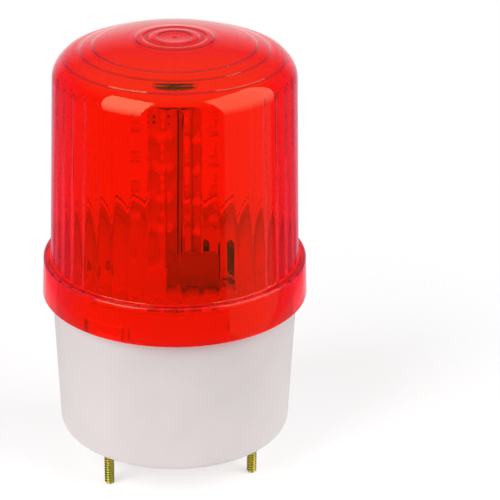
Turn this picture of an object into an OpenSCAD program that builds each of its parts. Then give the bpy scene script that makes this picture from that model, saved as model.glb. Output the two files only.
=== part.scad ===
// Flashing warning light for machines. A drafted cup stands on three studs and holds a control board in its
// mouth. A six-sided tower of light-emitting diodes stands on the board, under a ribbed dome that twists on.
// Millimetres. The origin is the centre of the cup's seating face, +Z is up and the front faces -Y.
// Bearings are degrees from the front towards +X.

/* [Cup] */
// Outer diameter at the foot
cup_foot_d = 91.6; // [88:0.2:95]
// Outer diameter at the neck, inside the collar
cup_neck_d = 96; // [94:0.5:100]
// Height of the rim above the seating face
cup_h = 69.2; // [60:0.2:80]
// Thickness of the side wall
cup_wall = 2.5; // [2:0.1:3]
// Thickness of the floor
cup_floor = 3; // [2.5:0.1:4]
// Radius of the rounded edge of the foot
foot_round = 3; // [1:0.1:4]

/* [Mounting studs] */
// Thread diameter of a stud
stud_d = 4; // [3:0.5:5]
// Diameter of the circle that the studs stand on
stud_circle_d = 66.6; // [60:0.2:70]
// Length that stands out below the seating face
stud_out = 20; // [10:1:30]
// Bearing of the first stud
stud_bearing = -51.5; // [-60:0.5:-40]
// Height of the bosses that the stud heads rest on
stud_boss_h = 10; // [6:0.5:14]

/* [Lens] */
// Height of the dome above the collar's ledge
dome_h = 87.5; // [80:0.5:110]
// Thickness of the dome's wall between its ribs
dome_wall = 1.9; // [1.6:0.1:2.4]
// Lean of the dome's wall in degrees
dome_draft = 1.7; // [1:0.1:2.2]
// Radius of the dome's shoulder
shoulder_r = 10; // [8:0.5:14]
// Rise of the crown above the shoulder
crown_rise = 4.75; // [3:0.05:6]
// Height of each ring step on the dome's top
ring_step = 0.35; // [0.1:0.05:0.4]
// Height of the collar
collar_h = 15.5; // [14:0.5:18]
// Thickness of the collar's wall
collar_wall = 2.4; // [1.8:0.05:3]
// Thickness of the ledge between the collar and the dome
ledge_t = 2; // [1.6:0.1:3]
// Number of ribs inside the dome
rib_count = 44; // [36:1:48]
// Radius of each rib's rounded face
rib_r = 11; // [7:0.1:14]

/* [Twist lock] */
// Number of lugs round the collar
lug_count = 3; // [2:1:3]
// Thickness of the lock ribs on the neck
lock_t = 1; // [0.8:0.05:1.4]
// Running gap between the neck and the collar's lugs
twist_gap = 0.35; // [0.3:0.05:0.6]
// Height of a collar lug
lug_h = 4.9; // [3:0.1:6]
// Bearing of a lug's leading end
lug_start = -41.6; // [-44:0.1:-40]
// Arc that a lug covers
lug_arc = 18.7; // [12:0.1:20]

/* [Control board] */
// Diameter of the board
board_d = 64; // [62:0.5:70]
// Thickness of the board
board_t = 1.6; // [1.2:0.1:2.4]
// Drop of the board's face below the rim
board_drop = 2; // [0.8:0.1:4]
// Thickness of the deck ring that carries the board
deck_t = 2; // [1.6:0.1:3]
// Thickness of the seal between the rim and the ledge
seal_t = 1; // [0.6:0.1:2]

/* [Light tower] */
// Width of the six-sided spine across its flats
spine_af = 15.2; // [13:0.2:18]
// Thickness of a strip board
strip_t = 1; // [0.8:0.1:1.6]
// Gap between the tower's top and the crown
tower_headroom = 23.5; // [18:0.1:30]
// Bearing of the first strip
tower_bearing = -40; // [-60:1:60]
// Rows of diodes on each strip
led_rows = 4; // [2:1:5]
// Diameter of a diode's body
led_d = 4.8; // [3:0.1:5]
// Height of a diode above its strip
led_h = 7; // [4:0.1:8]

/* [Components] */
// Diameter of the capacitor that lies on the board
main_cap_d = 13.5; // [10:0.5:14]
// Length of the capacitor that lies on the board
main_cap_l = 17; // [12:0.5:20]
// Diameter of the capacitor that stands on the board
small_cap_d = 6.3; // [5:0.1:8]
// Height of the capacitor that stands on the board
small_cap_h = 12.5; // [8:0.5:16]
// Inner diameter of the cable grommet
cable_d = 6; // [4:0.5:8]

/* [Hidden] */
$fn = 96;

// Small gaps and overlaps
seat_gap = 0.3;
fit_gap = 0.1;
join = 0.6;
over = 1;

// Cup
cup_foot_r = cup_foot_d / 2;
neck_r = cup_neck_d / 2;
rim_in_r = neck_r - cup_wall;
stud_count = 3;
stud_hole_r = stud_d / 2 + 0.15;
stud_boss_r = stud_d + 2;
stud_head_af = 1.75 * stud_d;
stud_head_h = 0.7 * stud_d;
stud_tip = 0.15 * stud_d;
stud_shank_d = 0.9 * stud_d;
stud_thread_drop = 0.15 * stud_d;
grommet_wall = 2;
grommet_lip = 2;
grommet_lip_t = 1.2;
grommet_waist_r = cable_d / 2 + grommet_wall;
grommet_lip_r = grommet_waist_r + grommet_lip;

// Heights of the joint between the cup and the lens
seal_top_z = cup_h + seal_t;
ledge_under_z = seal_top_z + seat_gap;
ledge_z = ledge_under_z + ledge_t;
collar_z = ledge_z - collar_h;
neck_z = collar_z - 1;

// Lens
collar_in_r = neck_r + lock_t + twist_gap;
collar_r = collar_in_r + collar_wall;
collar_lean = 0.65;
collar_edge = 0.3;
collar_round = min(1.2, ledge_t / 2, collar_wall / 2);
dome_foot_r = neck_r + 0.2;
dome_fillet = 0.6;
top_z = ledge_z + dome_h;
shoulder_ring_a = 57;
shoulder_end_a = 82.5;
crown_curve = 2.6;
crown_beads = [13.3, 7.7];
crown_bead_w = 3.4;
crown_bead_h = 0.25;
shoulder_z = top_z - crown_rise - 3 * ring_step - shoulder_r * sin(shoulder_end_a);
wall_top_z = shoulder_z + shoulder_r * sin(dome_draft);
wall_top_r = dome_foot_r - tan(dome_draft) * (wall_top_z - ledge_z);
shoulder_x = wall_top_r - shoulder_r * cos(dome_draft);
crown_r = shoulder_x + shoulder_r * cos(shoulder_end_a);
crown_rings = [0.945 * crown_r, 0.819 * crown_r];
inner_shoulder_r = 0.4 * shoulder_r;
inner_shoulder_z = shoulder_z + 0.15 * shoulder_r;
inner_wall_top_r = wall_top_r - dome_wall / cos(dome_draft);
inner_shoulder_x = inner_wall_top_r - tan(dome_draft) * (inner_shoulder_z - wall_top_z) - inner_shoulder_r;
inner_shoulder_end_a = 58;
inner_crown_r = crown_rings[0];
inner_crown_z = top_z - crown_rise - dome_wall;
inner_top_z = top_z - dome_wall;
gate_pip_r = 0.8;
gate_pip_h = 0.3;

// Ribs inside the dome, which stand on its inner wall and die into the shoulder
rib_land = 0.24;
rib_half_w = PI * inner_wall_top_r / rib_count - rib_land / 2;
rib_h = rib_half_w * rib_half_w / 2 * (1 / rib_r + 1 / inner_wall_top_r);
rib_foot = 0.3;
rib_low_z = ledge_under_z + rib_foot;
rib_run_in = 5;

// Twist lock on the neck
lug_gap = 0.4;
lug_z = collar_z + lug_h;
lock_rib_z = lug_z + lug_gap;
lock_rib_lead = 2.3;
lock_rib_drop = 0.4;
lock_rib_arc = 60;
lock_stop_arc = 2;
lock_stop_gap = 0.5;
pad_start = 24.1;
pad_arc = 12.2;
pad_low = 3.5;
pad_high = 7.6;

// Control board and what holds it
board_top_z = cup_h - board_drop;
board_z = board_top_z - board_t;
board_r = board_d / 2;
deck_z = board_z - deck_t;
deck_r = rim_in_r - seat_gap;
deck_lap = 5;
deck_ledge_w = 1.7;
deck_ledge_t = 1.5;
pillar_count = 3;
pillar_circle_r = board_r - deck_lap / 2;
pillar_bearing = 45;
pillar_r = 3.5;
pillar_web_t = 2;
pillar_web_drop = 8;
screw_d = 3;
screw_l = 10;
screw_head_r = 2.75;
screw_head_h = 2;

// Light tower
tower_sides = 6;
spine_r = spine_af / 2;
strip_face = spine_r + strip_t;
strip_edge_gap = 0.35;
strip_w = 2 * (spine_r * tan(180 / tower_sides) - strip_edge_gap);
foot_r = spine_r + 4.6;
foot_t = 2;
tower_z = board_top_z + foot_t;
cap_t = 2;
tower_top_z = inner_top_z - tower_headroom;
tower_l = tower_top_z - tower_z;
cap_top_z = tower_top_z - screw_head_h;
spine_top_z = cap_top_z - cap_t;
strip_hole_d = 1.6;
strip_hole_drop = 6.1;
led_low = 15.8;
led_high = 11.2;
led_pitch = (tower_l - led_low - led_high) / (led_rows - 1);
led_flange_r = led_d / 2 + 0.4;
led_flange_t = 1;

// Parts on the board
wire_d = 0.7;
lying_gap = 0.2;
main_cap_x = 8;
main_cap_y = -15.4 - main_cap_d / 2;
main_cap_bead = 0.6;
main_cap_pin_gap = 7.5;
small_cap_x = 17.3;
small_cap_y = -11;
small_cap_bung_h = 1;
resistor_d = 2.4;
resistor_l = 6.4;
resistor_span = 10;
resistor_count = 6;
resistor_pitch = 4.4;
resistor_x = -16;
diode_d = 2.7;
diode_l = 5.2;
diode_span = 9;
diode_count = 4;
diode_pitch = 4.5;
diode_x = 15;
chip_y = -14;
chip_l = 9.8;
chip_w = 6.4;
chip_t = 3.3;
chip_lift = 0.5;
chip_pin_pitch = 2.54;
chip_pins = 4;
terminal_l = 15;
terminal_w = 9;
terminal_h = 10;
terminal_y = 18;
terminal_ways = 2;
terminal_hole_r = 1.8;

// Points along an arc in a profile
function arc_points(x, z, r, from, to, steps) =
    [for (i = [0:steps]) let (a = from + (to - from) * i / steps) [x + r * cos(a), z + r * sin(a)]];

// Height of the crown's outer face before its ring and beads
function crown_z(r) = top_z - crown_rise * pow(r / crown_r, crown_curve);

// Crown's face between two radii, raised by a height
function crown_points(outer, inner, steps, raise) =
    [for (i = [0:steps]) let (r = outer + (inner - outer) * i / steps) [r, crown_z(r) + raise]];

// Raised beads round the middle of the crown, the largest first
function bead_points() =
    [for (bead = crown_beads, corner = [[0.5, 0], [0.3, 1], [-0.3, 1], [-0.5, 0]])
        let (r = bead + corner[0] * crown_bead_w) [r, crown_z(r) + corner[1] * crown_bead_h]];

// A block bent round the axis
module arc_block(r_in, r_out, low, high, start, arc) {
    rotate([0, 0, start - 90])
        rotate_extrude(angle = arc)
            translate([r_in, low])
                square([r_out - r_in, high - low]);
}

// Copies at a bearing, with the copy's own +X pointing outwards
module at_bearings(count, first, radius) {
    for (i = [0:count - 1])
        rotate([0, 0, first - 90 + i * 360 / count])
            translate([radius, 0, 0])
                children();
}

// Drafted cup with a rounded foot, a ledge for the deck ring and the twist-lock neck
module base_housing() {
    inner_foot_r = cup_foot_r - cup_wall;
    ledge_in_r = rim_in_r - deck_ledge_w;
    color("gainsboro")
    difference() {
        union() {
            rotate_extrude()
                polygon(concat(
                    [[0, 0]],
                    arc_points(cup_foot_r - foot_round, foot_round, foot_round, -90, 0, 6),
                    [[neck_r, neck_z], [neck_r, cup_h], [rim_in_r, cup_h], [rim_in_r, deck_z],
                     [ledge_in_r, deck_z], [ledge_in_r, deck_z - deck_ledge_t],
                     [rim_in_r, deck_z - deck_ledge_t - 2 * deck_ledge_w],
                     [rim_in_r, neck_z], [inner_foot_r, cup_floor], [0, cup_floor]]));
            at_bearings(stud_count, stud_bearing, stud_circle_d / 2)
                cylinder(r = stud_boss_r, h = stud_boss_h);
            at_bearings(pillar_count, pillar_bearing, pillar_circle_r)
                translate([0, 0, cup_floor - join])
                    cylinder(r = pillar_r, h = deck_z - cup_floor + join);
            at_bearings(pillar_count, pillar_bearing, 0)
                pillar_web();
            for (i = [0:lug_count - 1])
                rotate([0, 0, i * 360 / lug_count])
                    neck_lock();
        }
        at_bearings(stud_count, stud_bearing, stud_circle_d / 2)
            translate([0, 0, -over])
                cylinder(r = stud_hole_r, h = stud_boss_h + 2 * over, $fn = 32);
        at_bearings(pillar_count, pillar_bearing, pillar_circle_r)
            translate([0, 0, board_z - screw_l])
                cylinder(r = screw_d / 2, h = screw_l, $fn = 32);
        translate([0, 0, -over])
            cylinder(r = grommet_waist_r + fit_gap, h = cup_floor + 2 * over);
        translate([0, 0, -over])
            cylinder(r = grommet_lip_r + fit_gap, h = grommet_lip_t + over);
    }
}

// Upright web that ties a pillar to the cup's wall and follows its lean
module pillar_web() {
    wall_half = cup_wall / 2;
    rotate([90, 0, 0])
        translate([0, 0, -pillar_web_t / 2])
            linear_extrude(pillar_web_t)
                polygon([[pillar_circle_r, cup_floor - join], [cup_foot_r - wall_half, cup_floor - join],
                         [neck_r - wall_half, neck_z], [neck_r - wall_half, deck_z - pillar_web_drop],
                         [pillar_circle_r, deck_z - pillar_web_drop]]);
}

// One lock rib on the neck with the stop that ends the twist, and a pad that centres the collar
module neck_lock() {
    rib_start = lug_start + lock_rib_lead;
    stop_start = lug_start + lug_arc + lock_stop_gap;
    arc_block(neck_r - join, neck_r + lock_t, lock_rib_z, cup_h - lock_rib_drop, rib_start, lock_rib_arc);
    arc_block(neck_r - join, neck_r + lock_t - fit_gap, collar_z + collar_edge, lock_rib_z + join,
              stop_start, lock_stop_arc);
    arc_block(neck_r - join, neck_r + lock_t, collar_z + pad_low, collar_z + pad_high, pad_start, pad_arc);
}

// Bolts pushed down through the cup's floor, heads inside, with a thinner shank above the thread
module mounting_studs() {
    color("darkkhaki")
    at_bearings(stud_count, stud_bearing, stud_circle_d / 2) {
        translate([0, 0, stud_tip - stud_out])
            cylinder(d = stud_d, h = stud_out - stud_tip - stud_thread_drop, $fn = 32);
        translate([0, 0, -stud_out])
            cylinder(r1 = stud_d / 2 - stud_tip, r2 = stud_d / 2, h = stud_tip, $fn = 32);
        translate([0, 0, -stud_thread_drop - join])
            cylinder(d = stud_shank_d, h = stud_thread_drop + join + stud_boss_h, $fn = 32);
        translate([0, 0, stud_boss_h])
            cylinder(d = stud_head_af / cos(30), h = stud_head_h, $fn = 6);
    }
}

// Rubber sleeve that clips into the floor, with its lower lip flush with the seating face
module cable_grommet() {
    color("dimgray")
    difference() {
        union() {
            cylinder_between(grommet_lip_r, 0, grommet_lip_t);
            cylinder_between(grommet_waist_r, grommet_lip_t - fit_gap, cup_floor + fit_gap);
            cylinder_between(grommet_lip_r, cup_floor, cup_floor + grommet_lip_t);
        }
        cylinder_between(cable_d / 2, -over, cup_floor + grommet_lip_t + over);
    }
}

// Cylinder on the axis between two heights
module cylinder_between(r, low, high) {
    translate([0, 0, low])
        cylinder(r = r, h = high - low);
}

// Flat rubber ring on the rim
module seal_ring() {
    seal_inset = 0.4;
    color("black")
    difference() {
        cylinder_between(neck_r - seal_inset, cup_h, seal_top_z);
        cylinder_between(rim_in_r + seal_inset, cup_h - over, seal_top_z + over);
    }
}

// Holes for the screws that hold the board and its deck
module board_screw_holes() {
    at_bearings(pillar_count, pillar_bearing, pillar_circle_r)
        translate([0, 0, deck_z - over])
            cylinder(r = screw_d / 2 + fit_gap, h = deck_t + board_t + 2 * over, $fn = 32);
}

// White ring in the cup's mouth, on the cup's ledge and pillars, that carries the board
module deck_ring() {
    color("whitesmoke")
    difference() {
        cylinder_between(deck_r, deck_z, board_z);
        cylinder_between(board_r - deck_lap, deck_z - over, board_z + over);
        board_screw_holes();
    }
}

// Round board on the deck ring
module control_board() {
    color("wheat")
    difference() {
        cylinder_between(board_r, board_z, board_top_z);
        board_screw_holes();
        cylinder_between(screw_d / 2 + fit_gap, board_z - over, board_top_z + over);
    }
}

// Pan-head screw with its head's seat at z = 0
module pan_screw(length) {
    slot_w = 0.8;
    difference() {
        union() {
            translate([0, 0, -length])
                cylinder(d = screw_d - 2 * fit_gap, h = length + join, $fn = 32);
            cylinder(r1 = screw_head_r, r2 = 0.8 * screw_head_r, h = screw_head_h, $fn = 32);
        }
        for (turn = [0, 90])
            rotate([0, 0, turn])
                translate([-0.6 * screw_head_r, -slot_w / 2, 0.5 * screw_head_h])
                    cube([1.2 * screw_head_r, slot_w, screw_head_h]);
    }
}

// Screws that hold the board and its deck on the cup's pillars
module board_screws() {
    color("silver")
    at_bearings(pillar_count, pillar_bearing, pillar_circle_r)
        translate([0, 0, board_top_z])
            pan_screw(screw_l);
}

// Terminal block under the board for the supply wires
module terminal_block() {
    way = terminal_l / terminal_ways;
    color("seagreen")
    translate([0, terminal_y, board_z - terminal_h])
        difference() {
            translate([-terminal_l / 2, -terminal_w / 2, 0])
                cube([terminal_l, terminal_w, terminal_h]);
            for (i = [0:terminal_ways - 1])
                translate([(i + 0.5) * way - terminal_l / 2, 0, 0]) {
                    translate([0, 0, -over])
                        cylinder(r = terminal_hole_r, h = over + terminal_h / 3, $fn = 32);
                    translate([0, -terminal_w / 2 - over, terminal_h * 0.6])
                        rotate([-90, 0, 0])
                            cylinder(r = terminal_hole_r, h = terminal_w / 2 + over, $fn = 32);
                }
        }
}

// Turns the tower's own faces to their bearing, with side 1 first
module tower_side(side) {
    rotate([0, 0, tower_bearing - 90 + (side - 1) * 360 / tower_sides])
        children();
}

// Six-sided prism with its flats on the tower's sides
module tower_prism(flat_r, low, high) {
    tower_side(1)
        rotate([0, 0, 180 / tower_sides])
            translate([0, 0, low])
                cylinder(r = flat_r / cos(180 / tower_sides), h = high - low, $fn = tower_sides);
}

// Flanged foot that stands the tower on the board
module tower_foot() {
    color("whitesmoke")
    difference() {
        cylinder_between(foot_r, board_top_z, tower_z);
        cylinder_between(screw_d / 2 + fit_gap, board_top_z - over, tower_z + over);
    }
}

// Dark six-sided spine, bored for the screw that holds its cap
module tower_spine() {
    color("dimgray")
    difference() {
        tower_prism(spine_r, tower_z, spine_top_z);
        cylinder_between(screw_d / 2, tower_z - over, spine_top_z + over);
    }
}

// Strip board on one side of the spine
module led_board(side) {
    color("ivory")
    tower_side(side)
        difference() {
            translate([spine_r, -strip_w / 2, tower_z])
                cube([strip_t, strip_w, tower_l]);
            translate([spine_r - over, 0, tower_z + tower_l - strip_hole_drop])
                rotate([0, 90, 0])
                    cylinder(d = strip_hole_d, h = strip_t + 2 * over, $fn = 24);
        }
}

// Row of round diodes up one strip
module leds(side) {
    color("lightcyan")
    tower_side(side)
        for (row = [0:led_rows - 1])
            translate([strip_face, 0, tower_z + led_low + row * led_pitch])
                rotate([0, 90, 0]) {
                    cylinder(r = led_flange_r, h = led_flange_t, $fn = 32);
                    cylinder(d = led_d, h = led_h - led_d / 2, $fn = 32);
                    translate([0, 0, led_h - led_d / 2])
                        sphere(d = led_d, $fn = 32);
                }
}

// Six-sided cap on the spine, sunk between the ends of the strips
module tower_cap() {
    color("dimgray")
    difference() {
        tower_prism(spine_r - fit_gap, spine_top_z, cap_top_z);
        cylinder_between(screw_d / 2 + fit_gap, spine_top_z - over, cap_top_z + over);
    }
}

// Screw through the cap into the spine
module tower_screw() {
    color("dimgray")
    translate([0, 0, cap_top_z])
        pan_screw(screw_l);
}

// Sleeved capacitor that lies along X, with its two wires bent down to the board
module main_capacitor() {
    axis_z = board_top_z + lying_gap + main_cap_d / 2;
    wire_run = 1.5;
    color("slateblue")
    translate([main_cap_x, main_cap_y, axis_z]) {
        rotate([0, 90, 0])
            rotate_extrude()
                polygon([[0, -main_cap_l / 2], [main_cap_d / 2 - main_cap_bead, -main_cap_l / 2],
                         [main_cap_d / 2, -main_cap_l / 2 + main_cap_bead],
                         [main_cap_d / 2, main_cap_l / 2 - main_cap_bead],
                         [main_cap_d / 2 - main_cap_bead, main_cap_l / 2], [0, main_cap_l / 2]]);
        for (side = [-1, 1])
            translate([-main_cap_l / 2, side * main_cap_pin_gap / 2, 0]) {
                translate([-wire_run, 0, 0])
                    rotate([0, 90, 0])
                        cylinder(d = wire_d, h = wire_run + join, $fn = 16);
                translate([-wire_run, 0, board_top_z - axis_z])
                    cylinder(d = wire_d, h = axis_z - board_top_z, $fn = 16);
                translate([-wire_run, 0, 0])
                    sphere(d = wire_d, $fn = 16);
            }
    }
}

// Capacitor that stands on its rubber bung
module small_capacitor() {
    bead = 0.4;
    waist_z = 2.2;
    waist_in = 0.4;
    r = small_cap_d / 2;
    color("dimgray")
    translate([small_cap_x, small_cap_y, board_top_z])
        rotate_extrude()
            polygon([[0, 0], [r - bead, 0], [r - bead, small_cap_bung_h], [r, small_cap_bung_h + bead],
                     [r - waist_in, waist_z], [r, waist_z + bead], [r, small_cap_h - bead],
                     [r - bead, small_cap_h], [0, small_cap_h]]);
}

// Round-bodied part that lies along X on its two bent wires
module axial_part(body_d, body_l, span) {
    axis_z = board_top_z + lying_gap + body_d / 2;
    translate([0, 0, axis_z]) {
        rotate([0, 90, 0]) {
            translate([0, 0, -body_l / 2])
                cylinder(d = body_d, h = body_l, $fn = 32);
            translate([0, 0, -span / 2])
                cylinder(d = wire_d, h = span, $fn = 16);
        }
        for (side = [-1, 1])
            translate([side * span / 2, 0, 0]) {
                sphere(d = wire_d, $fn = 16);
                translate([0, 0, board_top_z - axis_z])
                    cylinder(d = wire_d, h = axis_z - board_top_z, $fn = 16);
            }
    }
}

// Hangs parts that are drawn on the board's face under the board, turned about the X axis
module under_board() {
    translate([0, 0, board_top_z + board_z])
        rotate([180, 0, 0])
            children();
}

// Resistors of the flasher circuit in a row
module resistors() {
    color("tan")
    under_board()
        for (i = [0:resistor_count - 1])
            translate([resistor_x, (i - (resistor_count - 1) / 2) * resistor_pitch, 0])
                axial_part(resistor_d, resistor_l, resistor_span);
}

// Rectifier diodes in a row
module diodes() {
    color("black")
    under_board()
        for (i = [0:diode_count - 1])
            translate([diode_x, (i - (diode_count - 1) / 2) * diode_pitch, 0])
                axial_part(diode_d, diode_l, diode_span);
}

// Chip that drives the diodes in turn, on two rows of legs
module driver_chip() {
    leg_w = 0.6;
    leg_out = 0.7;
    color("black")
    under_board()
        translate([0, -chip_y, board_top_z]) {
            translate([-chip_l / 2, -chip_w / 2, chip_lift])
                cube([chip_l, chip_w, chip_t]);
            for (side = [-1, 1], i = [0:chip_pins - 1])
                translate([(i - (chip_pins - 1) / 2) * chip_pin_pitch - leg_w / 2,
                           side * (chip_w + leg_out) / 2 - leg_out / 2 - fit_gap / 2, 0])
                    cube([leg_w, leg_out + fit_gap, chip_lift + chip_t / 2]);
        }
}

// Outer form of the lens from the collar's edge to the crown
module lens_outside() {
    low_ring = arc_points(shoulder_x, shoulder_z, shoulder_r, dome_draft, shoulder_ring_a, 8);
    high_ring = arc_points(shoulder_x, shoulder_z + ring_step, shoulder_r,
                           shoulder_ring_a + 1, shoulder_end_a, 5);
    rotate_extrude()
        polygon(concat(
            [[0, collar_z], [collar_r - collar_edge, collar_z], [collar_r, collar_z + collar_edge]],
            arc_points(collar_r - collar_lean - collar_round, ledge_z - collar_round, collar_round, 0, 90, 5),
            arc_points(dome_foot_r + dome_fillet, ledge_z + dome_fillet, dome_fillet,
                       270, 180 + dome_draft, 4),
            low_ring, high_ring,
            crown_points(crown_r, crown_rings[0], 2, -2 * ring_step),
            crown_points(crown_rings[0] - ring_step, crown_rings[1], 3, -ring_step),
            crown_points(crown_rings[1] - ring_step, crown_beads[0] + crown_bead_w, 5, 0),
            bead_points(), [[0, top_z]]));
    cylinder_between(gate_pip_r, top_z - over, top_z + gate_pip_h);
}

// Hollow of the lens: the collar's bore below the ledge and the dome's room above it
module lens_hollow() {
    room_foot_r = dome_foot_r - dome_wall;
    rotate_extrude()
        polygon(concat(
            [[0, collar_z - over], [collar_in_r, collar_z - over], [collar_in_r, ledge_under_z],
             [room_foot_r, ledge_under_z]],
            arc_points(inner_shoulder_x, inner_shoulder_z, inner_shoulder_r,
                       dome_draft, inner_shoulder_end_a, 6),
            [for (i = [0:5]) let (r = inner_crown_r * (1 - i / 5))
                [r, inner_top_z - (inner_top_z - inner_crown_z) * pow(r / inner_crown_r, crown_curve)]]));
}

// Rounded rib that leans with the dome's inner wall
module dome_rib() {
    side = 2 * rib_half_w + fit_gap;
    length = (wall_top_z + rib_run_in - rib_low_z) / cos(dome_draft);
    translate([inner_wall_top_r, 0, wall_top_z])
        rotate([0, -dome_draft, 0])
            translate([0, 0, rib_run_in - length])
                linear_extrude(length)
                    intersection() {
                        translate([rib_r - rib_h, 0])
                            circle(r = rib_r);
                        translate([-over, -side / 2])
                            square([over + dome_wall / 2, side]);
                    }
}

// Dome, ledge and collar moulded in one piece, ribbed inside, with lugs for the twist lock
module lens() {
    color("red", 0.6)
    union() {
        difference() {
            lens_outside();
            difference() {
                lens_hollow();
                at_bearings(rib_count, 0, 0)
                    dome_rib();
            }
        }
        for (i = [0:lug_count - 1])
            arc_block(neck_r + twist_gap, collar_in_r + join, collar_z, lug_z,
                      lug_start + i * 360 / lug_count, lug_arc);
    }
}

base_housing();
mounting_studs();
cable_grommet();
seal_ring();
deck_ring();
control_board();
board_screws();
terminal_block();
tower_foot();
tower_spine();
for (side = [1:tower_sides]) {
    led_board(side);
    leds(side);
}
tower_cap();
tower_screw();
main_capacitor();
small_capacitor();
resistors();
diodes();
driver_chip();
lens();
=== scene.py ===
import math

import bmesh
import bpy
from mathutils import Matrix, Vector


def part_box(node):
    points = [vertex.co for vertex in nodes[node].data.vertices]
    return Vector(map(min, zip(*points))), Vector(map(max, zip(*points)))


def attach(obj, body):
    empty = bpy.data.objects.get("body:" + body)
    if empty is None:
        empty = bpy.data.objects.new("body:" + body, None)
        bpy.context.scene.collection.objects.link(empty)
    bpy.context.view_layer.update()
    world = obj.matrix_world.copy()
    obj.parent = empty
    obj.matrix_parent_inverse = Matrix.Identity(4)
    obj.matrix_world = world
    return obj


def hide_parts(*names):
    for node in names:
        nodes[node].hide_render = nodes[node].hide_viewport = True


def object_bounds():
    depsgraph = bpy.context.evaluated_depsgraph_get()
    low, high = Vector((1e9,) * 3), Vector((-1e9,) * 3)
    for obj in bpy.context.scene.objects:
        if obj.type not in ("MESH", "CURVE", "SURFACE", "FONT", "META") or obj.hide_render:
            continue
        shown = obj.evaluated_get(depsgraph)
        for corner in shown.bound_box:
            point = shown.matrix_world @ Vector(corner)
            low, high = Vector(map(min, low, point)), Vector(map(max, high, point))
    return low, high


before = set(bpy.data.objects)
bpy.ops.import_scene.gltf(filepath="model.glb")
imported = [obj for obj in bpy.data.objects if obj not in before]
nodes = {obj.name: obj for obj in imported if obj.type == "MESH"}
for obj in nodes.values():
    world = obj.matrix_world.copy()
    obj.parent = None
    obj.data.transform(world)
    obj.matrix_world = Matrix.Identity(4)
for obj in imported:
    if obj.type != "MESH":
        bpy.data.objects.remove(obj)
cad_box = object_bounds()
scene = bpy.context.scene
scene.view_settings.view_transform = "Standard"

# View. The camera stands in front of the light and looks down on it through a long lens, with the light
# left of the middle of the picture.
camera_target = Vector((0, 0, 0.07284))
camera_distance = 0.7548
camera_fall = math.radians(24.85)
camera_offset = Vector((0, -math.cos(camera_fall), math.sin(camera_fall)))
camera = bpy.data.objects.new("camera", bpy.data.cameras.new("camera"))
camera.data.sensor_width = 36
camera.data.lens = 139.43
camera.data.shift_x = 0.1506
camera.data.clip_start = 0.01
camera.location = camera_target + camera_distance * camera_offset
camera.rotation_euler = (math.radians(90) - camera_fall, 0, 0)
scene.collection.objects.link(camera)
scene.camera = camera

# Studio. A small white table with a softbox on each side, the left one smaller and brighter, in a dim room
# with a white backdrop. The backdrop shows to the camera, through the lens and low behind the light in
# reflections. The rest of the room mirrors warm in front, cool at the sides and paler overhead.


def feed(tree, node, inputs):
    """Sets a node's inputs, each to a value or to another node's socket."""
    for name, value in inputs.items():
        if isinstance(value, bpy.types.NodeSocket):
            tree.links.new(value, node.inputs[name])
        else:
            node.inputs[name].default_value = value


def add(tree, kind, inputs=None, **settings):
    """A new node with its settings and inputs."""
    node = tree.nodes.new(kind)
    for name, value in settings.items():
        setattr(node, name, value)
    feed(tree, node, inputs or {})
    return node


def calculate(tree, operation, first, second=0.0, third=0.0):
    """The result of a Math node."""
    node = add(tree, "ShaderNodeMath", {0: first, 1: second, 2: third}, operation=operation)
    return node.outputs[0]


def product(tree, first, *others):
    """The product of two or more values."""
    for other in others:
        first = calculate(tree, "MULTIPLY", first, other)
    return first


def ramp(tree, value, low, high, start=0.0, end=1.0):
    """Start to end, as a value goes from low to high."""
    node = add(tree, "ShaderNodeMapRange", {
        "Value": value, "From Min": low, "From Max": high, "To Min": start, "To Max": end})
    return node.outputs["Result"]


def mix(tree, share, first, second, kind="RGBA"):
    """A mix of two colours, or of two values where the kind is FLOAT."""
    node = add(tree, "ShaderNodeMix", {"Factor": share, "A": first, "B": second}, data_type=kind)
    return node.outputs["Result"]


def seen_directly(tree, path):
    """1 for rays of a light path that show the background: to the camera, mirrored or through glass."""
    straight = calculate(tree, "MAXIMUM", path["Is Camera Ray"], path["Is Transmission Ray"])
    return calculate(tree, "MAXIMUM", straight, path["Is Glossy Ray"])


def own_place(tree):
    """The coordinates of the piece that a material is on."""
    return add(tree, "ShaderNodeTexCoord").outputs["Object"]


room_light = 0.24
mirrored_room = 0.18
mirrored_ceiling = 0.45
backdrop_y = (0.75, 1.0)
backdrop_middle_z = -0.15
backdrop_half_z = (0.3, 0.6)
ceiling_z = (0.45, 0.95)
sides_y = (-0.2, 0.4)
sides_z = (0.2, 0.8)
neutral_tone = (1, 1, 1, 1)
front_tone = (1, 1, 0.15, 1)
side_tone = (0.9, 0.72, 1.2, 1)
world = bpy.data.worlds.new("studio")
scene.world = world
world.cycles.sampling_method = "NONE"
world.use_nodes = True
tree = world.node_tree
tree.nodes.clear()
path = add(tree, "ShaderNodeLightPath").outputs
seen = seen_directly(tree, path)
direction = add(tree, "ShaderNodeTexCoord").outputs["Generated"]
toward = add(tree, "ShaderNodeSeparateXYZ", {"Vector": direction}).outputs
off_middle = calculate(tree, "ABSOLUTE", calculate(tree, "SUBTRACT", toward["Z"], backdrop_middle_z))
behind = ramp(tree, toward["Y"], *backdrop_y)
low = ramp(tree, off_middle, *backdrop_half_z, 1.0, 0.0)
overhead = ramp(tree, toward["Z"], *ceiling_z, 0.0, mirrored_ceiling)
white = calculate(tree, "MULTIPLY_ADD", behind, low, overhead)
mirrored = calculate(tree, "SUBTRACT", path["Is Glossy Ray"], path["Is Transmission Ray"])
in_mirrors = ramp(tree, white, 0.0, 1.0, mirrored_room, 1.0)
background = mix(tree, mirrored, 1.0, in_mirrors, "FLOAT")
strength = mix(tree, seen, room_light, background, "FLOAT")
sideways = product(tree, ramp(tree, toward["Y"], *sides_y), ramp(tree, toward["Z"], *sides_z, 1.0, 0.0))
room_tone = mix(tree, sideways, front_tone, side_tone)
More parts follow.
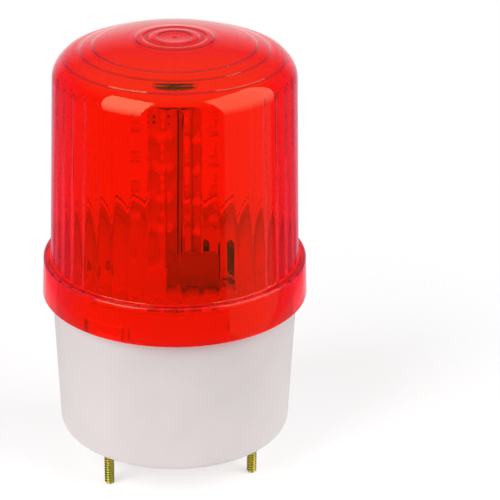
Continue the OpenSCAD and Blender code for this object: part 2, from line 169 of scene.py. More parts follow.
dim = product(tree, mirrored, calculate(tree, "SUBTRACT", 1.0, white))
tone = mix(tree, dim, neutral_tone, room_tone)
light = add(tree, "ShaderNodeBackground", {"Color": tone, "Strength": strength})
add(tree, "ShaderNodeOutputWorld", {"Surface": light.outputs["Background"]})

table_r = 0.24
table_solid_r = 0.12
table_paper = (0.86, 0.86, 0.86, 1)
table_fill = 0.42
table_mesh = bpy.data.meshes.new("table")
table_form = bmesh.new()
bmesh.ops.create_circle(table_form, cap_ends=True, segments=96, radius=table_r)
bmesh.ops.translate(table_form, verts=table_form.verts, vec=(0, 0, cad_box[0].z))
table_form.to_mesh(table_mesh)
table_form.free()
table = bpy.data.objects.new("table", table_mesh)
scene.collection.objects.link(table)
table_white = bpy.data.materials.new("table_white")
table_white.use_nodes = True
tree = table_white.node_tree
tree.nodes.clear()
seen = seen_directly(tree, add(tree, "ShaderNodeLightPath").outputs)
paper = add(tree, "ShaderNodeBsdfDiffuse", {"Color": table_paper})
fill = add(tree, "ShaderNodeEmission", {"Strength": product(tree, seen, table_fill)})
lit = add(tree, "ShaderNodeAddShader", {0: paper.outputs["BSDF"], 1: fill.outputs["Emission"]})
gone = add(tree, "ShaderNodeBsdfTransparent")
distance = add(tree, "ShaderNodeVectorMath", {0: own_place(tree)}, operation="LENGTH").outputs["Value"]
faded = add(tree, "ShaderNodeMixShader", {
    0: ramp(tree, distance, table_solid_r, table_r), 1: lit.outputs["Shader"], 2: gone.outputs["BSDF"]})
add(tree, "ShaderNodeOutputMaterial", {"Surface": faded.outputs["Shader"]})
table_mesh.materials.append(table_white)

light_aim = Vector((0, 0, 0.11))
softbox_distance = 0.8
softbox_shade_z = (-0.05, 0.35)
softbox_dim = 0.1
softboxes = [
    ("softbox_left", -48, 22, 0.58, 0.9, 3.9),
    ("softbox_right", 71, 16, 0.89, 1.39, 2.25),
]
for name, bearing, rise, width, tall, radiance in softboxes:
    lamp = bpy.data.lights.new(name, "AREA")
    lamp.shape = "RECTANGLE"
    lamp.size = width
    lamp.size_y = tall
    lamp.energy = radiance * math.pi * width * tall
    lamp.use_nodes = True
    tree = lamp.node_tree
    place = add(tree, "ShaderNodeNewGeometry").outputs["Position"]
    level = add(tree, "ShaderNodeSeparateXYZ", {"Vector": place}).outputs["Z"]
    feed(tree, tree.nodes["Emission"], {"Strength": ramp(tree, level, *softbox_shade_z, softbox_dim)})
    holder = bpy.data.objects.new(name, lamp)
    bearing = math.radians(bearing)
    rise = math.radians(rise)
    away = math.cos(rise)
    offset = Vector((away * math.sin(bearing), -away * math.cos(bearing), math.sin(rise)))
    holder.location = light_aim + softbox_distance * offset
    holder.rotation_euler = (-offset).to_track_quat("-Z", "Y").to_euler()
    holder.visible_camera = False
    scene.collection.objects.link(holder)
scene.cycles.max_bounces = 40
scene.cycles.transmission_bounces = 40
scene.cycles.glossy_bounces = 30

# Cup. A drafted cup of pale grey plastic, injection moulded with a rounded foot and a neck that carries the
# ribs and stops of the twist lock. It stands on the machine and holds everything else.


def new_group(name, kind, inputs, outputs):
    """A node group with named sockets, and the sockets that its inputs come from."""
    group = bpy.data.node_groups.new(name, kind)
    for in_out, sockets in (("INPUT", inputs), ("OUTPUT", outputs)):
        for socket, socket_type in sockets:
            group.interface.new_socket(socket, in_out=in_out, socket_type="NodeSocket" + socket_type)
    return group, group.nodes.new("NodeGroupInput").outputs


grain, given = new_group(
    "moulded_grain", "ShaderNodeTree",
    [("Position", "Vector"), ("Colour", "Color"), ("Grain Size", "Float"), ("Roughness", "Float")],
    [("Colour", "Color"), ("Roughness", "Float"), ("Height", "Float")])
cloud_scale = 45.0
cloud_edge = (0.3, 0.7)
cloud_shade = (0.97, 1.03)
cloud_dulling = (-0.05, 0.05)
fineness = calculate(grain, "DIVIDE", 1.0, given["Grain Size"])
speckle = add(grain, "ShaderNodeTexNoise", {"Vector": given["Position"], "Scale": fineness, "Detail": 2.0})
cloud = add(grain, "ShaderNodeTexNoise", {"Vector": given["Position"], "Scale": cloud_scale, "Detail": 3.0})
shade = ramp(grain, cloud.outputs["Fac"], *cloud_edge, *cloud_shade)
toned = add(grain, "ShaderNodeMix", {"Factor": 1.0, "A": given["Colour"], "B": shade},
            data_type="RGBA", blend_type="MULTIPLY")
dulling = ramp(grain, cloud.outputs["Fac"], 0.0, 1.0, *cloud_dulling)
add(grain, "NodeGroupOutput", {
    "Colour": toned.outputs["Result"], "Roughness": calculate(grain, "ADD", given["Roughness"], dulling),
    "Height": speckle.outputs["Fac"]})


def new_material(name):
    """A plain material with its tree and its Principled BSDF."""
    material = bpy.data.materials.new(name)
    material.use_nodes = True
    tree = material.node_tree
    return material, tree, tree.nodes["Principled BSDF"]


grain_depth = 0.00002


def moulded(name, colour, grain_size, roughness, relief):
    """Plastic with a fine moulded grain."""
    material, tree, shader = new_material(name)
    surface = add(tree, "ShaderNodeGroup", {
        "Position": own_place(tree), "Colour": (*colour, 1), "Grain Size": grain_size,
        "Roughness": roughness}, node_tree=grain).outputs
    bump = add(tree, "ShaderNodeBump", {
        "Height": surface["Height"], "Strength": relief, "Distance": grain_depth})
    feed(tree, shader, {
        "Base Color": surface["Colour"], "Roughness": surface["Roughness"],
        "Normal": bump.outputs["Normal"]})
    return material


def smooth_copy(name, angle):
    """A CAD node's mesh, merged and shaded smooth up to an angle, as a piece of its own."""
    mesh = nodes[name].data.copy()
    mesh.attributes.remove(mesh.attributes["custom_normal"])
    merged = bmesh.new()
    merged.from_mesh(mesh)
    bmesh.ops.remove_doubles(merged, verts=merged.verts, dist=1e-6)
    merged.to_mesh(mesh)
    merged.free()
    mesh.materials.clear()
    mesh.shade_smooth()
    mesh.set_sharp_from_angle(angle=math.radians(angle))
    piece = bpy.data.objects.new(name + "_skin", mesh)
    scene.collection.objects.link(piece)
    return piece


def finish_piece(piece, material, body, slot, *replaced):
    """Gives a piece its material and its CAD body, and hides the CAD nodes that it stands for; the slot is
    not used.
    """
    piece.data.materials.clear()
    piece.data.materials.append(material)
    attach(piece, body)
    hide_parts(*replaced)


cup_crease = 35
cup_plastic = moulded("cup_plastic", (0.79, 0.715, 0.718), grain_size=0.0004, roughness=0.42, relief=0.25)
finish_piece(smooth_copy("base_housing", cup_crease), cup_plastic, "base", "housing", "base_housing")

# Mounting studs. Three steel M4 bolts with a yellow passivated zinc plating, pushed through the cup's floor
# from inside until their hex heads stand on the bosses. Their rolled threads stick out below the cup.
plating, given = new_group(
    "plated_metal", "ShaderNodeTree",
    [("Position", "Vector"), ("Colour", "Color"), ("Bloom", "Color"), ("Roughness", "Float")],
    [("Colour", "Color"), ("Roughness", "Float")])
bloom_scale = 420.0
bloom_edge = (0.4, 0.65)
bloom_dulling = (-0.08, 0.08)
patch = add(plating, "ShaderNodeTexNoise", {
    "Vector": given["Position"], "Scale": bloom_scale, "Detail": 4.0})
bloomed = ramp(plating, patch.outputs["Fac"], *bloom_edge)
dulling = ramp(plating, patch.outputs["Fac"], 0.0, 1.0, *bloom_dulling)
add(plating, "NodeGroupOutput", {
    "Colour": mix(plating, bloomed, given["Colour"], given["Bloom"]),
    "Roughness": calculate(plating, "ADD", given["Roughness"], dulling)})


def plated(name, colour, bloom, roughness):
    """Metal under a thin plating that blooms in patches."""
    material, tree, shader = new_material(name)
    surface = add(tree, "ShaderNodeGroup", {
        "Position": own_place(tree), "Colour": (*colour, 1), "Bloom": (*bloom, 1),
        "Roughness": roughness}, node_tree=plating).outputs
    feed(tree, shader, {
        "Base Color": surface["Colour"], "Roughness": surface["Roughness"], "Metallic": 1.0})
    return material


turned_grid, given = new_group(
    "turned_grid", "GeometryNodeTree",
    [("Profile", "Object"), ("Rows", "Int"), ("Columns", "Int")],
    [("Mesh", "Geometry"), ("Radius", "Float"), ("Height", "Float"), ("Angle", "Float"), ("Row", "Int")])
lattice = add(turned_grid, "GeometryNodeMeshGrid", {
    "Vertices X": calculate(turned_grid, "ADD", given["Columns"], 1.0), "Vertices Y": given["Rows"]})
index = add(turned_grid, "GeometryNodeInputIndex").outputs["Index"]
row = calculate(turned_grid, "MODULO", index, given["Rows"])
column = calculate(turned_grid, "FLOOR", calculate(turned_grid, "DIVIDE", index, given["Rows"]))
outline = add(turned_grid, "GeometryNodeObjectInfo", {"Object": given["Profile"]})
point = add(turned_grid, "GeometryNodeSampleIndex", {
    "Geometry": outline.outputs["Geometry"], "Index": row,
    "Value": add(turned_grid, "GeometryNodeInputPosition").outputs["Position"]}, data_type="FLOAT_VECTOR")
parts = add(turned_grid, "ShaderNodeSeparateXYZ", {"Vector": point.outputs["Value"]}).outputs
turn = calculate(turned_grid, "DIVIDE", product(turned_grid, column, math.tau), given["Columns"])
add(turned_grid, "NodeGroupOutput", {
    "Mesh": lattice.outputs["Mesh"], "Radius": parts["X"], "Height": parts["Z"], "Angle": turn, "Row": row})

turned_skin, given = new_group(
    "turned_skin", "GeometryNodeTree",
    [("Mesh", "Geometry"), ("Radius", "Float"), ("Height", "Float"), ("Angle", "Float"),
     ("Sharp Angle", "Float")],
    [("Mesh", "Geometry")])
across = product(turned_skin, given["Radius"], calculate(turned_skin, "SINE", given["Angle"]))
along = product(turned_skin, given["Radius"], calculate(turned_skin, "COSINE", given["Angle"]), -1.0)
spot = add(turned_skin, "ShaderNodeCombineXYZ", {"X": across, "Y": along, "Z": given["Height"]})
bent = add(turned_skin, "GeometryNodeSetPosition", {
    "Geometry": given["Mesh"], "Position": spot.outputs["Vector"]})
closed = add(turned_skin, "GeometryNodeMergeByDistance", {
    "Geometry": bent.outputs["Geometry"], "Distance": 1e-6})
soft = add(turned_skin, "GeometryNodeSetShadeSmooth", {"Geometry": closed.outputs["Geometry"]})
bend = add(turned_skin, "GeometryNodeInputMeshEdgeAngle").outputs["Unsigned Angle"]
sharp = add(turned_skin, "GeometryNodeSetShadeSmooth", {
    "Geometry": soft.outputs["Geometry"], "Shade Smooth": False,
    "Selection": calculate(turned_skin, "GREATER_THAN", bend, given["Sharp Angle"])}, domain="EDGE")
add(turned_skin, "NodeGroupOutput", {"Mesh": sharp.outputs["Geometry"]})


def profile_object(name, points, **marks):
    """A line of (radius, height) points in millimetres for a turned piece, with marks on its points."""
    mesh = bpy.data.meshes.new(name)
    mesh.from_pydata([(r / 1000, 0, z / 1000) for r, z in points], [], [])
    for mark, values in marks.items():
        mesh.attributes.new(mark, "FLOAT", "POINT").data.foreach_set("value", values)
    line = bpy.data.objects.new(name, mesh)
    scene.collection.objects.link(line)
    return line


def turned(tree, given):
    """A profile turned to a grid, from a tree's own inputs."""
    sizes = {name: given[name] for name in ("Profile", "Rows", "Columns")}
    return add(tree, "GeometryNodeGroup", sizes, node_tree=turned_grid).outputs


def skinned(tree, grid, radius, sharp_angle):
    """The closed skin of a turned grid, with creases over an angle."""
    node = add(tree, "GeometryNodeGroup", {
        "Mesh": grid["Mesh"], "Radius": radius, "Height": grid["Height"], "Angle": grid["Angle"],
        "Sharp Angle": math.radians(sharp_angle)}, node_tree=turned_skin)
    return node.outputs["Mesh"]


def end_tree(tree, geometry, material):
    """Realize Instances and Set Material, which end every tree."""
    real = add(tree, "GeometryNodeRealizeInstances", {"Geometry": geometry})
    painted = add(tree, "GeometryNodeSetMaterial", {
        "Geometry": real.outputs["Geometry"], "Material": material})
    add(tree, "NodeGroupOutput", {"Geometry": painted.outputs["Geometry"]})


def grow(name, group, values):
    """The mesh that a Geometry Nodes tree makes from its named inputs, as one plain piece."""
    piece = bpy.data.objects.new(name, bpy.data.meshes.new(name + "_start"))
    scene.collection.objects.link(piece)
    modifier = piece.modifiers.new("nodes", "NODES")
    modifier.node_group = group
    for socket in group.interface.items_tree:
        if socket.in_out == "INPUT":
            modifier[socket.identifier] = values[socket.name]
    piece.update_tag()
    grown = piece.evaluated_get(bpy.context.evaluated_depsgraph_get())
    mesh = bpy.data.meshes.new_from_object(grown)
    piece.modifiers.remove(modifier)
    piece.data = mesh
    return piece


stud_crease = 40
thread_flank = (0.08, 0.44)
thread_core_r = 0.0012
stud_tree, given = new_group(
    "threaded_studs", "GeometryNodeTree",
    [("Profile", "Object"), ("Rows", "Int"), ("Columns", "Int"), ("Pitch", "Float"),
     ("Thread Depth", "Float"), ("Thread Top", "Float"), ("Count", "Int"), ("Circle Radius", "Float"),
     ("Bearing", "Float"), ("Head", "Object"), ("Material", "Material")],
    [("Geometry", "Geometry")])
grid = turned(stud_tree, given)
lead = calculate(stud_tree, "DIVIDE", grid["Angle"], math.tau)
climb = calculate(stud_tree, "DIVIDE", grid["Height"], given["Pitch"])
wave = calculate(stud_tree, "PINGPONG", calculate(stud_tree, "SUBTRACT", climb, lead), 0.5)
threaded = calculate(stud_tree, "LESS_THAN", grid["Height"], given["Thread Top"])
depth = product(stud_tree, ramp(stud_tree, wave, *thread_flank), threaded, given["Thread Depth"])
cut = calculate(stud_tree, "SUBTRACT", grid["Radius"], depth)
core = calculate(stud_tree, "MAXIMUM", cut, thread_core_r)
rod = skinned(stud_tree, grid, calculate(stud_tree, "MINIMUM", grid["Radius"], core), stud_crease)
head = add(stud_tree, "GeometryNodeObjectInfo", {"Object": given["Head"]})
bolt = add(stud_tree, "GeometryNodeJoinGeometry", {"Geometry": rod})
feed(stud_tree, bolt, {"Geometry": head.outputs["Geometry"]})
circle = add(stud_tree, "GeometryNodeMeshCircle", {
    "Vertices": given["Count"], "Radius": given["Circle Radius"]})
bearing = add(stud_tree, "ShaderNodeCombineXYZ", {"Z": given["Bearing"]})
placed = add(stud_tree, "GeometryNodeTransform", {
    "Geometry": circle.outputs["Mesh"], "Rotation": bearing.outputs["Vector"]})
bolts = add(stud_tree, "GeometryNodeInstanceOnPoints", {
    "Points": placed.outputs["Geometry"], "Instance": bolt.outputs["Geometry"]})
end_tree(stud_tree, bolts.outputs["Instances"], given["Material"])

stud_low, stud_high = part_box("mounting_studs")
stud_tip_z = stud_low.z * 1000
stud_tip_r = 1.4
stud_r = 2.0
shank_r = 1.8
thread_top_z = -0.6
thread_steps = 200
stud_head_z = 10.0
head_half_w = 3.5
head_corner_r = head_half_w / 1000 / math.cos(math.pi / 6)
thread_l = thread_top_z - stud_tip_z
stud_points = [(0, stud_tip_z), (stud_tip_r, stud_tip_z)]
for step in range(1, thread_steps + 1):
    up = thread_l * step / thread_steps
    stud_points.append((min(stud_r, stud_tip_r + up), stud_tip_z + up))
stud_points += [(shank_r, thread_top_z), (shank_r, stud_head_z), (0, stud_head_z)]
stud_line = profile_object("stud_line", stud_points)
head_mesh = bpy.data.meshes.new("stud_head")
head_form = bmesh.new()
bmesh.ops.create_cone(head_form, cap_ends=True, segments=6, radius1=head_corner_r, radius2=head_corner_r,
                      depth=stud_high.z - stud_head_z / 1000)
bmesh.ops.translate(head_form, verts=head_form.verts, vec=(0, 0, (stud_high.z + stud_head_z / 1000) / 2))
head_form.to_mesh(head_mesh)
head_form.free()
stud_head = bpy.data.objects.new("stud_head", head_mesh)
scene.collection.objects.link(stud_head)
stud_zinc = plated("stud_zinc", (0.55, 0.43, 0.08), bloom=(0.42, 0.44, 0.10), roughness=0.25)
studs = grow("mounting_studs_threaded", stud_tree, {
    "Profile": stud_line, "Rows": len(stud_points), "Columns": 32, "Pitch": 0.0011, "Thread Depth": 0.0006,
    "Thread Top": thread_top_z / 1000, "Count": 3, "Circle Radius": 0.0333, "Bearing": math.radians(-141.5),
    "Head": stud_head, "Material": stud_zinc})
bpy.data.objects.remove(stud_line)
bpy.data.objects.remove(stud_head)
finish_piece(studs, stud_zinc, "base", "studs", "mounting_studs")

# Rubber. A moulded black grommet lines the cable's inlet in the cup's floor, and a flat ring of white
# silicone on the rim of the cup seals it against the lens.


def dress(name, material):
    """Gives a CAD node that is shown as it is its material."""
    node = nodes[name]
    node.data.materials.clear()
    node.data.materials.append(material)


black_rubber = moulded("black_rubber", (0.035, 0.034, 0.034), grain_size=0.0003, roughness=0.75, relief=0.4)
dress("cable_grommet", black_rubber)
white_silicone = moulded("white_silicone", (0.86, 0.85, 0.83), grain_size=0.0006, roughness=0.5, relief=0.2)
dress("seal_ring", white_silicone)

# Control board. A moulded white ring lies on the cup's ledge and carries a round laminate board, and three
# screws hold both on the cup's pillars. A green terminal block hangs under the board for the supply wires.
white_plastic = moulded("white_plastic", (0.88, 0.88, 0.86), grain_size=0.0005, roughness=0.45, relief=0.3)
dress("deck_ring", white_plastic)
resin_tan = (0.90, 0.84, 0.72, 1)
cloth_tan = (0.94, 0.89, 0.79, 1)
laminate, tree, shader = new_material("laminate")
weave = add(tree, "ShaderNodeTexWave", {"Vector": own_place(tree), "Scale": 900.0, "Distortion": 1.5})
woven = mix(tree, weave.outputs["Fac"], resin_tan, cloth_tan)
feed(tree, shader, {"Base Color": woven, "Roughness": 0.4})
dress("control_board", laminate)
screw_zinc = plated("screw_zinc", (0.62, 0.62, 0.63), bloom=(0.52, 0.54, 0.58), roughness=0.32)
dress("board_screws", screw_zinc)
terminal_green = moulded(
    "terminal_green", (0.05, 0.28, 0.12), grain_size=0.0005, roughness=0.45, relief=0.3)
dress("terminal_block", terminal_green)

# Light tower. A black moulded spine of six sides stands on a white flanged foot, with a screwed cap sunk in
# its top. Each side carries a white strip board with a column of round diodes in epoxy that scatters light.
dress("tower_foot", white_plastic)
black_plastic = moulded("black_plastic", (0.02, 0.02, 0.02), grain_size=0.0004, roughness=0.45, relief=0.3)
for name in ("tower_spine", "tower_cap", "tower_screw"):
    dress(name, black_plastic)
strip_white = moulded("strip_white", (0.67, 0.67, 0.655), grain_size=0.0003, roughness=0.35, relief=0.15)
diode_epoxy, tree, shader = new_material("diode_epoxy")
feed(tree, shader, {
    "Base Color": (0.97, 0.98, 0.98, 1), "Roughness": 0.03, "IOR": 1.53, "Transmission Weight": 0.15})
for side in range(1, 7):
    dress(f"led_board_{side}", strip_white)
    dress(f"leds_{side}", diode_epoxy)

# Flasher circuit. A violet-sleeved capacitor lies on the board on its tinned wires and a black one stands
# beside it. The lacquered resistors, black rectifiers and driver chip are soldered under the board.
sleeve_l = 0.017
wire_tin = (0.62, 0.62, 0.60, 1)
violet_sleeve = moulded("violet_sleeve", (0.34, 0.10, 0.62), grain_size=0.002, roughness=0.25, relief=0.05)
tree = violet_sleeve.node_tree
shader = tree.nodes["Principled BSDF"]
along = add(tree, "ShaderNodeSeparateXYZ", {"Vector": own_place(tree)}).outputs["X"]
wire = calculate(tree, "LESS_THAN", along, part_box("main_capacitor")[1].x - sleeve_l)
cover = shader.inputs["Base Color"].links[0].from_socket
feed(tree, shader, {"Base Color": mix(tree, wire, cover, wire_tin), "Metallic": wire})
dress("main_capacitor", violet_sleeve)
black_sleeve = moulded("black_sleeve", (0.02, 0.02, 0.022), grain_size=0.002, roughness=0.25, relief=0.05)
dress("small_capacitor", black_sleeve)
resistor_lacquer = moulded(
    "resistor_lacquer", (0.66, 0.50, 0.32), grain_size=0.001, roughness=0.35, relief=0.1)
dress("resistors", resistor_lacquer)
for name in ("diodes", "driver_chip"):
    dress(name, black_plastic)

# Lens. One moulding of clear red plastic: a collar with twist-lock lugs, a ledge over the seal and a dome
# with ringed steps on its crown. It is polished outside and ribbed inside, and turns off the cup by hand.
# Its profile is in millimetres.
lens_low, lens_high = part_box("lens")
collar_z = lens_low.z * 1000
collar_r = lens_high.x * 1000
pip_h = 0.3
pip_r = 0.8
pip_top_r = 0.6
pip_edge_h = 0.7 * pip_h
top_z = lens_high.z * 1000 - pip_h
collar_h = 15.5
collar_wall = 2.4
ledge_wall = 2.0
ledge_z = collar_z + collar_h
ledge_under_z = ledge_z - ledge_wall
collar_in_r = collar_r - collar_wall
collar_lean = 0.65
collar_round = 1.0
collar_edge = 0.3
dome_foot_r = 48.2
dome_foot_round = 0.6
dome_wall = 1.9
draft = math.radians(1.7)
shoulder_r = 10.0
shoulder_end = math.radians(82.5)
shoulder_ring = math.radians(57)
shoulder_ring_w = math.radians(1)
crown_rise = 4.75
crown_curve = 2.6
crown_beads = (7.7, 13.3)
bead_half_w = 1.36
bead_h = 0.25
ring_step = 0.35
shoulder_z = top_z - crown_rise - 3 * ring_step - shoulder_r * math.sin(shoulder_end)
wall_top_z = shoulder_z + shoulder_r * math.sin(draft)
wall_top_r = dome_foot_r - math.tan(draft) * (wall_top_z - ledge_z)
shoulder_x = wall_top_r - shoulder_r * math.cos(draft)
crown_r = shoulder_x + shoulder_r * math.cos(shoulder_end)
crown_rings = (0.819 * crown_r, 0.945 * crown_r)
room_foot_r = dome_foot_r - dome_wall
inner_wall_top_r = wall_top_r - dome_wall / math.cos(draft)
inner_shoulder_r = 4.0
inner_shoulder_z = shoulder_z + 1.5
inner_shoulder_x = inner_wall_top_r - math.tan(draft) * (inner_shoulder_z - wall_top_z) - inner_shoulder_r
inner_shoulder_end = math.radians(58)
inner_crown_r = crown_rings[1]
inner_top_z = top_z - dome_wall
inner_crown_steps = 10
rib_count = 44
rib_columns = 10
rib_low_z = ledge_under_z + 0.3
rib_end = math.radians(40)
rib_r = 11.0
rib_land = 0.24
rib_half_w = math.pi * inner_wall_top_r / rib_count - rib_land / 2
rib_h = rib_half_w ** 2 / 2 * (1 / rib_r + 1 / inner_wall_top_r)
lug_count = 3
lug_z = collar_z + 4.9
lug_top_z = lug_z + 0.15
lug_h = 1.0
lug_start = math.radians(-41.6)
lug_arc = math.radians(18.3)
row_gap = 0.1


def arc(x, z, r, start, end, steps):
    """Points along an arc of a profile."""
    turns = [start + (end - start) * i / steps for i in range(steps + 1)]
    return [(x + r * math.cos(a), z + r * math.sin(a)) for a in turns]


def crown_point(r, rise):
    """Point of the crown's outer face, raised or sunk."""
    return (r, top_z - crown_rise * (r / crown_r) ** crown_curve + rise)


def crown_edge(r, inner, outer):
    """Soft edge of a ring on the crown, from one height to another."""
    places = (-0.36, -0.24, -0.12, 0.0, 0.12, 0.24, 0.36)
    shares = (0.0, 0.08, 0.29, 0.5, 0.71, 0.92, 1.0)
    return [crown_point(r + place, inner + (outer - inner) * share) for place, share in zip(places, shares)]


def wall_point(z):
    """Point of the dome's inner wall."""
    share = (z - ledge_under_z) / (wall_top_z - ledge_under_z)
    return (room_foot_r + (inner_wall_top_r - room_foot_r) * share, z)


plain_crown = (17.5, 20, 23, 26, 28.5)
first_step = (32, 33.5)
second_step = 36.5
outside = [(0, top_z + pip_h), (pip_top_r, top_z + pip_h), (pip_r, top_z + pip_edge_h), (pip_r, top_z)]
for middle in crown_beads:
    outside += crown_edge(middle - bead_half_w, 0.0, bead_h)
    outside += crown_edge(middle + bead_half_w, bead_h, 0.0)
outside += [crown_point(r, 0.0) for r in plain_crown]
outside += crown_edge(crown_rings[0], 0.0, -ring_step)
outside += [crown_point(r, -ring_step) for r in first_step]
outside += crown_edge(crown_rings[1], -ring_step, -2 * ring_step)
outside += [crown_point(second_step, -2 * ring_step)]
outside += arc(shoulder_x, shoulder_z + ring_step, shoulder_r, shoulder_end,
               shoulder_ring + shoulder_ring_w, steps=8)
outside += arc(shoulder_x, shoulder_z, shoulder_r, shoulder_ring, draft, steps=20)
outside += arc(dome_foot_r + dome_foot_round, ledge_z + dome_foot_round, dome_foot_round,
               math.pi + draft, 1.5 * math.pi, steps=4)
collar_round_x = collar_r - collar_lean - collar_round
outside += arc(collar_round_x, ledge_z - collar_round, collar_round, math.pi / 2, 0, steps=6)
outside += [(collar_r, collar_z + collar_edge), (collar_r - collar_edge, collar_z)]
bore = [(collar_in_r, z) for z in (collar_z, lug_z, lug_top_z, ledge_under_z)]
plain_wall = [(room_foot_r, ledge_under_z), wall_point(rib_low_z - row_gap)]
ribbed_wall = [wall_point(rib_low_z), wall_point((rib_low_z + wall_top_z) / 2)]
ribbed_wall += arc(inner_shoulder_x, inner_shoulder_z, inner_shoulder_r, draft, rib_end, steps=24)
inside = arc(inner_shoulder_x, inner_shoulder_z, inner_shoulder_r, rib_end, inner_shoulder_end, steps=6)[1:]
for step in range(inner_crown_steps + 1):
    share = 1 - step / inner_crown_steps
    inside.append((inner_crown_r * share, inner_top_z - crown_rise * share ** crown_curve))
lens_points = outside + bore + plain_wall + ribbed_wall + inside
lug_marks = [0.0] * len(outside) + [1.0, 1.0, 0.0, 0.0]
lug_marks += [0.0] * (len(lens_points) - len(lug_marks))
rib_marks = [0.0] * (len(outside) + len(bore) + len(plain_wall)) + [1.0] * len(ribbed_wall)
rib_marks += [0.0] * len(inside)
lens_line = profile_object("lens_line", lens_points[::-1], ribbed=rib_marks[::-1], lugged=lug_marks[::-1])

lens_crease = 22
lens_tree, given = new_group(
    "ribbed_lens", "GeometryNodeTree",
    [("Profile", "Object"), ("Rows", "Int"), ("Columns", "Int"), ("Rib Count", "Int"),
     ("Rib Radius", "Float"), ("Rib Height", "Float"), ("Wall Radius", "Float"), ("Wall Height", "Float"),
     ("Wall Lean", "Float"), ("Lug Count", "Int"), ("Lug Start", "Float"), ("Lug Arc", "Float"),
     ("Lug Radius", "Float"), ("Material", "Material")],
    [("Geometry", "Geometry")])
grid = turned(lens_tree, given)
outline = add(lens_tree, "GeometryNodeObjectInfo", {"Object": given["Profile"]})


def marked(name):
    """A mark of the lens's profile at each point of its grid."""
    mark = add(lens_tree, "GeometryNodeInputNamedAttribute", {"Name": name}, data_type="FLOAT")
    sample = add(lens_tree, "GeometryNodeSampleIndex", {
        "Geometry": outline.outputs["Geometry"], "Value": mark.outputs["Attribute"], "Index": grid["Row"]},
        data_type="FLOAT")
    return sample.outputs["Value"]


rib_pitch = calculate(lens_tree, "DIVIDE", math.tau, given["Rib Count"])
half_pitch = product(lens_tree, rib_pitch, 0.5)
past_middle = calculate(lens_tree, "ADD", grid["Angle"], half_pitch)
in_pitch = calculate(lens_tree, "MODULO", past_middle, rib_pitch)
in_rib = calculate(lens_tree, "SUBTRACT", in_pitch, half_pitch)
up = calculate(lens_tree, "SUBTRACT", grid["Height"], given["Wall Height"])
wall = calculate(lens_tree, "SUBTRACT", given["Wall Radius"], product(lens_tree, up, given["Wall Lean"]))
sunk = calculate(lens_tree, "SUBTRACT", given["Rib Radius"], given["Rib Height"])
centre = calculate(lens_tree, "ADD", wall, sunk)
beside = product(lens_tree, centre, calculate(lens_tree, "SINE", in_rib))
ahead = product(lens_tree, centre, calculate(lens_tree, "COSINE", in_rib))
reach = calculate(lens_tree, "SUBTRACT", calculate(lens_tree, "POWER", given["Rib Radius"], 2.0),
                  calculate(lens_tree, "POWER", beside, 2.0))
rib_face = calculate(lens_tree, "SUBTRACT", ahead, calculate(lens_tree, "SQRT", reach))
ribbed_r = calculate(lens_tree, "MINIMUM", grid["Radius"], rib_face)
lug_pitch = calculate(lens_tree, "DIVIDE", math.tau, given["Lug Count"])
past_start = calculate(lens_tree, "SUBTRACT", grid["Angle"], given["Lug Start"])
in_lug_pitch = calculate(lens_tree, "FLOORED_MODULO", past_start, lug_pitch)
in_lug = calculate(lens_tree, "LESS_THAN", in_lug_pitch, given["Lug Arc"])
ribbed = mix(lens_tree, marked("ribbed"), grid["Radius"], ribbed_r, "FLOAT")
lugged = mix(lens_tree, product(lens_tree, in_lug, marked("lugged")), ribbed, given["Lug Radius"], "FLOAT")
end_tree(lens_tree, skinned(lens_tree, grid, lugged, lens_crease), given["Material"])

lens_red = (0.995, 0.014, 0.022, 1)
# Painted shade: the lens red is darkened in thin lines that stand in for the dark edges seen along the
# crown's beads and rings, the shoulder's step, the collar's top edge and, inside the bore, the ends of the
# lugs.
painted_shade_red = (0.45, 0.01, 0.06, 1)
lens_gloss = (1.0, 0.95, 0.5, 1)
shade_line_half_w = (0.0003, 0.0008)
lug_shade_line_half = math.radians(0.6)
shade_line_margin = 0.2
unlit = (0, 0, 0, 1)
# Painted glow: the collar below the ledge is given a faint red emission, strongest where it faces the
# viewer, that brightens it as if lit.
painted_glow = (1.0, 0.01, 0.01, 1)
painted_glow_strength = 0.06
painted_glow_facing = (0.1, 0.6)
bead_shade_lines = (6.3, 10.5, 14.7)
painted_shade_spots = [crown_point(r, bead_h / 2) for r in bead_shade_lines]
painted_shade_spots += [crown_point(crown_rings[0], -0.5 * ring_step), crown_point(crown_rings[1], -1.5 * ring_step)]
painted_shade_spots += arc(shoulder_x, shoulder_z, shoulder_r, shoulder_ring, draft, steps=1)[:1]
painted_shade_spots += arc(collar_round_x, ledge_z - collar_round, collar_round, math.pi / 2, 0, steps=3)[:3]
red_clear, tree, shader = new_material("red_clear")
place = own_place(tree)
flat = add(tree, "ShaderNodeVectorMath", {0: place, 1: (1, 1, 0)}, operation="MULTIPLY").outputs["Vector"]
radius = add(tree, "ShaderNodeVectorMath", {0: flat}, operation="LENGTH").outputs["Value"]
parts = add(tree, "ShaderNodeSeparateXYZ", {"Vector": place}).outputs
level = parts["Z"]
angle = calculate(tree, "ARCTAN2", parts["X"], product(tree, parts["Y"], -1.0))
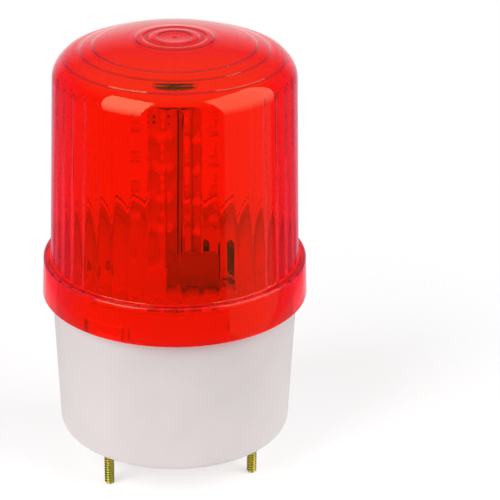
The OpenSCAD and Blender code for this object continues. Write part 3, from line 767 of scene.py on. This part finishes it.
# Painted shade lines at the ends of the lugs inside the bore, then along the painted edge spots listed
# above.
past_lug = calculate(tree, "SUBTRACT", angle, lug_start + lug_arc / 2)
from_lug = calculate(tree, "PINGPONG", past_lug, math.pi / lug_count)
from_end = calculate(tree, "ABSOLUTE", calculate(tree, "SUBTRACT", from_lug, lug_arc / 2))
in_bore = calculate(tree, "LESS_THAN", radius, (collar_in_r + shade_line_margin) / 1000)
lug_high = calculate(tree, "LESS_THAN", level, (lug_z + shade_line_margin) / 1000)
painted_shade_mask = product(tree, in_bore, lug_high, calculate(tree, "LESS_THAN", from_end, lug_shade_line_half))
spot = add(tree, "ShaderNodeCombineXYZ", {"X": radius, "Z": level}).outputs["Vector"]
for line_r, line_z in painted_shade_spots:
    line = (line_r / 1000, 0, line_z / 1000)
    off = add(tree, "ShaderNodeVectorMath", {0: spot, 1: line}, operation="DISTANCE").outputs["Value"]
    painted_shade_mask = calculate(tree, "MAXIMUM", painted_shade_mask, ramp(tree, off, *shade_line_half_w, 1.0, 0.0))
# Painted glow over the collar below the ledge, fading out towards grazing views.
painted_glow_band = ramp(tree, level, ledge_under_z / 1000, ledge_z / 1000, 1.0, 0.0)
facing = add(tree, "ShaderNodeLayerWeight", {"Blend": 0.5}).outputs["Facing"]
painted_glow_mask = product(tree, painted_glow_band, ramp(tree, facing, *painted_glow_facing, 1.0, 0.0))
feed(tree, shader, {
    "Base Color": mix(tree, painted_shade_mask, lens_red, painted_shade_red), "Roughness": 0.015, "IOR": 1.49,
    "Specular Tint": lens_gloss, "Transmission Weight": 1.0,
    "Emission Color": mix(tree, painted_glow_mask, unlit, painted_glow), "Emission Strength": painted_glow_strength})
lens = grow("lens_ribbed", lens_tree, {
    "Profile": lens_line, "Rows": len(lens_points), "Columns": rib_count * rib_columns,
    "Rib Count": rib_count, "Rib Radius": rib_r / 1000, "Rib Height": rib_h / 1000,
    "Wall Radius": inner_wall_top_r / 1000, "Wall Height": wall_top_z / 1000, "Wall Lean": math.tan(draft),
    "Lug Count": lug_count, "Lug Start": lug_start, "Lug Arc": lug_arc,
    "Lug Radius": (collar_in_r - lug_h) / 1000, "Material": red_clear})
bpy.data.objects.remove(lens_line)
finish_piece(lens, red_clear, "lens", "lens", "lens")
